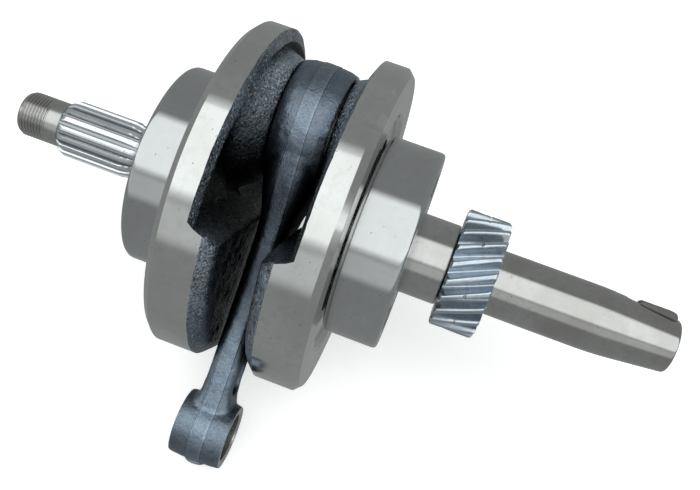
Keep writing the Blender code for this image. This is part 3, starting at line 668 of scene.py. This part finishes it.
def timing_gear():
    """Closed sections from one face to the other, then back along the bore."""
    chamfer = [(0.0, 0.75, 0.0), (0.12, 0.5, 0.0), (0.4, 0.18, 0.0), (0.8, 0.02, 0.0), (1.2, 0.0, 0.0)]
    middle = GEAR_WIDTH / 2
    nicks = [(middle - 0.45, 0.0, 0.0), (middle - 0.15, 0.0, 0.3)]
    nicks += [(middle + 0.15, 0.0, 0.3), (middle + 0.45, 0.0, 0.0)]
    near, far = ([(at, 0.0, 0.0) for at in ats] for ats in ((3.0, 4.6), (9.0, 10.8)))
    ends = [(GEAR_WIDTH - at, drop, 0.0) for at, drop, _ in reversed(chamfer)]
    stations = chamfer + near + nicks + far + ends
    sections = [gear_ring(GEAR_START + at, drop, nick) for at, drop, nick in stations]
    bore = [(GEAR_END, 12.2), (GEAR_END, 10.75), (GEAR_END - 0.4, GEAR_BORE)]
    bore += [(GEAR_START + 0.4, GEAR_BORE), (GEAR_START, 10.75), (GEAR_START, 12.2)]
    first, last = sections[0], sections[-1]
    for x, radius in bore:
        toward = last if x > GEAR_START + middle else first
        sections.append(ring(x, radius, np.arctan2(-toward[:, 1], toward[:, 2])))
    return skin("timing_gear", sections, [0] * len(sections), wrap=True)


gear = place("timing_gear_detail", timing_gear(), CRANK, [gear_look])
finish_piece(gear, "crank", "gear_steel", "timing_gear")


# ---------------------------------------------------------------- connecting rod

ROD_BORED = 1  # of rod_looks, where the forged skin is 0
SHANK = (  # height, half width and half thickness of each section
    (4.0, 16.0, 7.4),
    (-9.0, 17.8, 7.9),
    (-14.0, 16.4, 7.9),
    (-18.0, 15.0, 7.7),
    (-22.0, 13.4, 6.8),
    (-26.0, 12.0, 5.6),
    (-30.0, 10.9, 5.0),
    (-34.0, 10.2, 4.75),
    (-50.0, 8.6, 4.7),
    (-78.0, 7.2, 4.7),
    (-83.5, 7.0, 4.9),
    (-86.5, 7.0, 5.7),
    (-89.0, 6.9, 6.9),
    (-92.0, 6.4, 7.2),
)


SHANK_POINTS, SHANK_SQUARE = 40, 0.42


def shank_rings():
    """Squared-off sections of the shank."""
    rings = []
    for z, wide, thick in SHANK:
        angles = 2 * pi * (np.arange(SHANK_POINTS) + 0.5) / SHANK_POINTS
        c, s = np.cos(angles), np.sin(angles)
        x = thick * np.sign(c) * np.abs(c) ** SHANK_SQUARE
        y = (wide + 0.7 - 0.7 * np.abs(x) / thick * 2) * np.sign(s) * np.abs(s) ** SHANK_SQUARE
        rings.append(np.stack([x, y, np.full(SHANK_POINTS, z)], axis=1) * MM)
    return rings


def panel_rings(side):
    """The long recess in one face of the shank."""
    rings = []
    for x, grow in ((2.9, 0.0), (3.6, 0.35), (6.5, 1.6)):
        points = []
        for z, half, way in ((-37.0, 5.4, 1), (-80.0, 3.8, -1)):
            for k in range(9):
                a = radians(180.0 * k / 8)
                y = (half + grow) * cos(a) * way
                points.append((side * x, y, z + way * (half + grow) * 0.8 * sin(a)))
        rings.append(np.array(points) * MM)
    return rings


def eye(name, middle, face, segments):
    """A crowned eye: radius middle at the parting line and face at its sides."""
    profile = [(-8.3, 0.0, 0, 0), (-8.3, face, 0, 0), (-5.5, face + 0.75 * (middle - face), 0, 0)]
    profile += [(-2.8, middle, 0, 0), (2.8, middle, 0, 0), (5.5, face + 0.75 * (middle - face), 0, 0)]
    return lathe(name, [*profile, (8.3, face, 0, 0), (8.3, 0.0, 0, 0)], segments)


BAND_HALF, BAND_RISE, BAND_STEP = 2.2, 0.18, 0.12


def flash_band(mesh):
    """Lifts the trimmed parting line a little above the forged skin, with crisp edges."""
    work = bmesh.new()
    work.from_mesh(mesh)
    outer = BAND_HALF + BAND_STEP
    for at in (-outer, -BAND_HALF, BAND_HALF, outer):
        geometry = work.verts[:] + work.edges[:] + work.faces[:]
        plane = {"plane_co": (at * MM, 0, 0), "plane_no": (1, 0, 0)}
        bmesh.ops.bisect_plane(work, geom=geometry, dist=1e-6, **plane)
    work.normal_update()
    moves = []
    for vert in work.verts:
        if abs(vert.co.x) < (BAND_HALF + 0.01) * MM and abs(vert.normal.x) < 0.8:
            away = Vector((0, vert.normal.y, vert.normal.z)).normalized()
            wander = 1 + 0.35 * noise.noise(vert.co * 300)
            moves.append((vert, away * BAND_RISE * wander * MM))
    for vert, move in moves:
        vert.co += move
    work.to_mesh(mesh)
    work.free()


def forge(obj, voxel, passes):
    """Melts the joined shapes together as a forging does, then adds its uneven skin."""
    remesh = obj.modifiers.new("remesh", "REMESH")
    remesh.mode, remesh.voxel_size = "VOXEL", voxel * MM
    smooth = obj.modifiers.new("smooth", "SMOOTH")
    smooth.factor, smooth.iterations = 0.6, passes
    settle(obj)
    mesh = obj.data
    places, normals = (np.empty(3 * len(mesh.vertices), np.float32) for _ in range(2))
    mesh.vertices.foreach_get("co", places)
    mesh.vertex_normals.foreach_get("vector", normals)
    spots = places.reshape(-1, 3) / MM
    rise = skin_noise(*spots.T, ((0.4, 0.07), (1.3, 0.04)))
    mesh.vertices.foreach_set("co", places + normals * np.repeat(rise, 3) * MM)
    mesh.update()


def bored(points):
    """Sharp (x, r) corners of a hole, with the finish of a bore."""
    return [(x, r, 0, ROD_BORED) for x, r in points]


def connecting_rod():
    """Both eyes and the shank joined and forged, then faced, bored and drilled."""
    at_eye = Matrix.Translation((0, 0, -ROD_LENGTH * MM))
    rod = place("connecting_rod_detail", eye("rod", 20.05, 19.0, 128), ROD, rod_looks)
    cut(rod, skin("shank", shank_rings(), [0] * len(SHANK), caps=True), "UNION")
    cut(rod, eye("small_end", 10.15, 9.75, 96), "UNION", at_eye)
    for side in (-1, 1):
        cut(rod, skin("panel", panel_rings(side), [0, 0], caps=True))
    forge(rod, 0.5, 5)
    flash_band(rod.data)
    down = Matrix.Rotation(pi / 2, 4, "Y")
    low = ROD_LENGTH + SMALL_BORE
    lip = [(low, 0.0, 0, 0), (low, 3.4, 0, 0), (low + 2.9, 3.3, 0.2, 0), (low + 3.3, 2.7, 0.3, 0)]
    cut(rod, lathe("lip", [*lip, (low + 3.3, 0.0, 0, 0)], 48), "UNION", down)
    cut(rod, box_mesh("faces", (-8.0, -30, -120), (8.0, 30, 30), ROD_BORED), "INTERSECT")
    for radius, at in ((BIG_BORE, Matrix()), (SMALL_BORE, at_eye)):
        flare = radius + 1.5
        shape = ((-9, 0), (-9, flare), (-7.5, radius), (7.5, radius), (9, flare), (9, 0))
        cut(rod, lathe("bore", bored(shape), 128), at=at)
    oil = ((low - 4, 0), (low - 4, 1.7), (low + 2.4, 1.7), (low + 5, 3.4), (low + 5, 0))
    cut(rod, lathe("oil", bored(oil), 32), at=down)
    finish_piece(rod, "rod", "rod_steel", "connecting_rod")


connecting_rod()


# ---------------------------------------------------------------- bearings

ORBIT, BALL, RACE = 21.75, 5.45, 5.8
HALF_WIDTH = 8.5
OUTSIDE, OUTER_LAND, INNER_LAND, BEARING_BORE = 31.0, 26.0, 17.6, 12.52
BALLS = 7
CAGE_INSIDE, CAGE_OUTSIDE, CAGE_HALF_SHEET = 20.3, 23.2, 0.38
CAGE_SECTIONS = 168
ROLLERS, ROLLER_RADIUS, ROLLER_HALF, ROLLER_ORBIT = 14, 1.85, 5.7, 15.15


def around(share, radius, x=0.0):
    """A share of a full turn round the X axis, at a radius in mm."""
    return Matrix.Rotation(2 * pi * share, 4, "X") @ Matrix.Translation((x * MM, 0, radius * MM))


def race_points(sign, land):
    depth = abs(ORBIT - land)
    limit = atan2(sqrt(RACE**2 - depth**2), depth)
    turns = np.linspace(-limit, limit, 13)
    return [(RACE * sin(a), ORBIT + sign * RACE * cos(a), 0, 0) for a in turns]


def sphere_mesh(name, radius):
    profile = [(-radius * cos(pi * k / 24), radius * sin(pi * k / 24), 0, 0) for k in range(25)]
    return lathe(name, profile, 48)


def ribbon(side):
    """One pressed half of a ribbon cage: flat between the balls and domed over each one."""
    rings = []
    across = np.linspace(CAGE_INSIDE, CAGE_OUTSIDE, 6)
    sheet = [(r, CAGE_HALF_SHEET) for r in across] + [(r, -CAGE_HALF_SHEET) for r in across[::-1]]
    for k in range(CAGE_SECTIONS):
        angle = 2 * pi * k / CAGE_SECTIONS
        share = k * BALLS / CAGE_SECTIONS % 1
        gap = min(share, 1 - share) * 2 * pi / BALLS
        loop = []
        for r, offset in sheet:
            over = (BALL + 0.55) ** 2 - (r * sin(gap)) ** 2 - (r * cos(gap) - ORBIT) ** 2
            mid = smooth_max(np.array(sqrt(max(over, 0.0))), np.array(0.42), 0.9)
            loop.append((side * (float(mid) + offset) * MM, -r * sin(angle) * MM, r * cos(angle) * MM))
        rings.append(np.array(loop))
    return skin("ribbon", rings, [0] * CAGE_SECTIONS, wrap=True)


def joined(name, meshes, matrix, looks):
    """Several closed skins as one piece."""
    work = bmesh.new()
    for mesh, at in meshes:
        moved = mesh.copy()
        moved.transform(at)
        work.from_mesh(moved)
    mesh = bpy.data.meshes.new(name)
    work.to_mesh(mesh)
    work.free()
    shade(mesh)
    return place(name, mesh, matrix, looks)


def main_bearing(side_name, side):
    frame_here = CRANK @ Matrix.Translation((side * BEARING_X * MM, 0, 0))
    outer = race_points(1, OUTER_LAND)
    outer += [(HALF_WIDTH, OUTER_LAND, 0.25, 0), (HALF_WIDTH, OUTSIDE, 1.5, 0)]
    outer += [(-HALF_WIDTH, OUTSIDE, 1.5, 0), (-HALF_WIDTH, OUTER_LAND, 0.25, 0)]
    inner = race_points(-1, INNER_LAND)
    inner += [(HALF_WIDTH, INNER_LAND, 0.25, 0), (HALF_WIDTH, BEARING_BORE, 1.0, 0)]
    inner += [(-HALF_WIDTH, BEARING_BORE, 1.0, 0), (-HALF_WIDTH, INNER_LAND, 0.25, 0)]
    rings = (("outer", outer, f"{side_name}_outer_race"), ("inner", inner, "crank"))
    for kind, profile, body in rings:
        node = f"{side_name}_bearing_{kind}_ring"
        piece = place(node + "_detail", lathe(node, profile, 192, closed=True), frame_here, [ring_look])
        finish_piece(piece, body, "bearing_steel", node)
    halves = [(ribbon(1), Matrix()), (ribbon(-1), Matrix())]
    rivet = sphere_mesh("rivet", 0.75)
    for k in range(BALLS):
        halves += [(rivet, around((k + 0.5) / BALLS, ORBIT, x)) for x in (-0.95, 0.95)]
    node = f"{side_name}_bearing_cage"
    cage = joined(node + "_detail", halves, frame_here, [cage_look])
    finish_piece(cage, f"{side_name}_ball_set", "cage_steel", node)
    for k in range(BALLS):
        spot = frame_here @ around(k / BALLS, ORBIT)
        node = f"{side_name}_bearing_ball_{k + 1}"
        ball = place(node + "_detail", sphere_mesh(node, BALL), spot, [ball_look])
        finish_piece(ball, f"{side_name}_ball_set", "bearing_steel", node)


main_bearing("left", -1)
main_bearing("right", 1)


def big_end_bearing():
    """The fourteen rollers; their cage keeps its CAD shape and gets the cage's finish."""
    end, radius = ROLLER_HALF, ROLLER_RADIUS
    profile = [(-end, 0, 0, 0), (-end, radius, 0.3, 0), (end, radius, 0.3, 0), (end, 0, 0, 0)]
    for k in range(ROLLERS):
        spot = CRANK @ TO_PIN @ around(k / ROLLERS, ROLLER_ORBIT)
        node = f"big_end_roller_{k + 1:02d}"
        roller = place(node + "_detail", lathe(node, profile, 32), spot, [ball_look])
        finish_piece(roller, "rod_rollers", "bearing_steel", node)
    cage_node = frame["nodes"]["big_end_cage"]
    cage_node.data.materials.clear()
    cage_node.data.materials.append(cage_look)


big_end_bearing()


# ---------------------------------------------------------------- floor, light and camera


FLOOR_PALE, FLOOR_GLOW, FLOOR_HALF, FLOOR_Z = 0.9, 0.5, 3.0, -0.0004


def pale_floor():
    """A plain floor, kept out of reflections and bounced light."""
    near, far = -FLOOR_HALF, FLOOR_HALF
    mesh = bpy.data.meshes.new("floor")
    corners = [(near, near, 0), (far, near, 0), (far, far, 0), (near, far, 0)]
    mesh.from_pydata(corners, [], [(0, 1, 2, 3)])
    material = bpy.data.materials.new("floor")
    material.use_nodes = True
    shader = material.node_tree.nodes["Principled BSDF"]
    shader.inputs["Base Color"].default_value = (FLOOR_PALE, FLOOR_PALE, FLOOR_PALE, 1.0)
    shader.inputs["Roughness"].default_value = 0.9
    shader.inputs["Emission Color"].default_value = (1.0, 1.0, 1.0, 1.0)
    shader.inputs["Emission Strength"].default_value = FLOOR_GLOW
    mesh.materials.append(material)
    floor = bpy.data.objects.new("floor", mesh)
    bpy.context.scene.collection.objects.link(floor)
    floor.location.z = FLOOR_Z
    floor.visible_glossy = False
    floor.visible_diffuse = False


pale_floor()

# A plain studio: a grey room, a wide soft box overhead and a weaker card in front. Boxes lie
# round the X axis: (middle and half width in degrees from +Y over the top, soft edge, grey).
ROOM_GREY = 0.3
SOFT_BOXES = (
    (110.0, 28.0, 8.0, 1.4),
    (160.0, 10.0, 8.0, 0.65),
)


def surroundings():
    world = bpy.data.worlds.new("studio")
    world.use_nodes = True
    tree = world.node_tree
    bpy.context.scene.world = world
    toward = add(tree, "ShaderNodeTexCoord").outputs["Generated"]
    _, y, z = add(tree, "ShaderNodeSeparateXYZ", {0: toward}).outputs
    turn = maths(tree, "DIVIDE", maths(tree, "ARCTAN2", z, y), 2 * pi)
    share = maths(tree, "FRACT", maths(tree, "ADD", turn, 1.0))
    light = ROOM_GREY
    for middle, half, edge, grey in SOFT_BOXES:
        inner, outer = half / 360, (half + edge) / 360
        off = maths(tree, "ABSOLUTE", maths(tree, "SUBTRACT", share, middle / 360))
        inside = ramp(tree, off, [(inner, 1.0), (outer, 0.0)])
        light = maths(tree, "ADD", light, maths(tree, "MULTIPLY", inside, grey - ROOM_GREY))
    background = tree.nodes["Background"]
    tree.links.new(light, background.inputs["Strength"])
    background.inputs["Color"].default_value = (0.96, 1.0, 1.0, 1.0)


surroundings()

# The camera looks down on the crank from in front; its angles are in degrees.
LENS = 45.7
CAMERA_AT = (0.0287, -0.1478, 0.2686)
CAMERA_TILT, CAMERA_ROLL, CAMERA_TURN = 34.5, -7.5, 19.4
camera = bpy.data.cameras.new("camera")
camera.lens, camera.sensor_width, camera.sensor_fit = LENS, 36.0, "HORIZONTAL"
camera.clip_start = 0.005
viewer = bpy.data.objects.new("camera", camera)
bpy.context.scene.collection.objects.link(viewer)
viewer.location = CAMERA_AT
viewer.rotation_euler = [radians(angle) for angle in (CAMERA_TILT, CAMERA_ROLL, CAMERA_TURN)]
bpy.context.scene.camera = viewer
bpy.context.scene.view_settings.view_transform = "Standard"
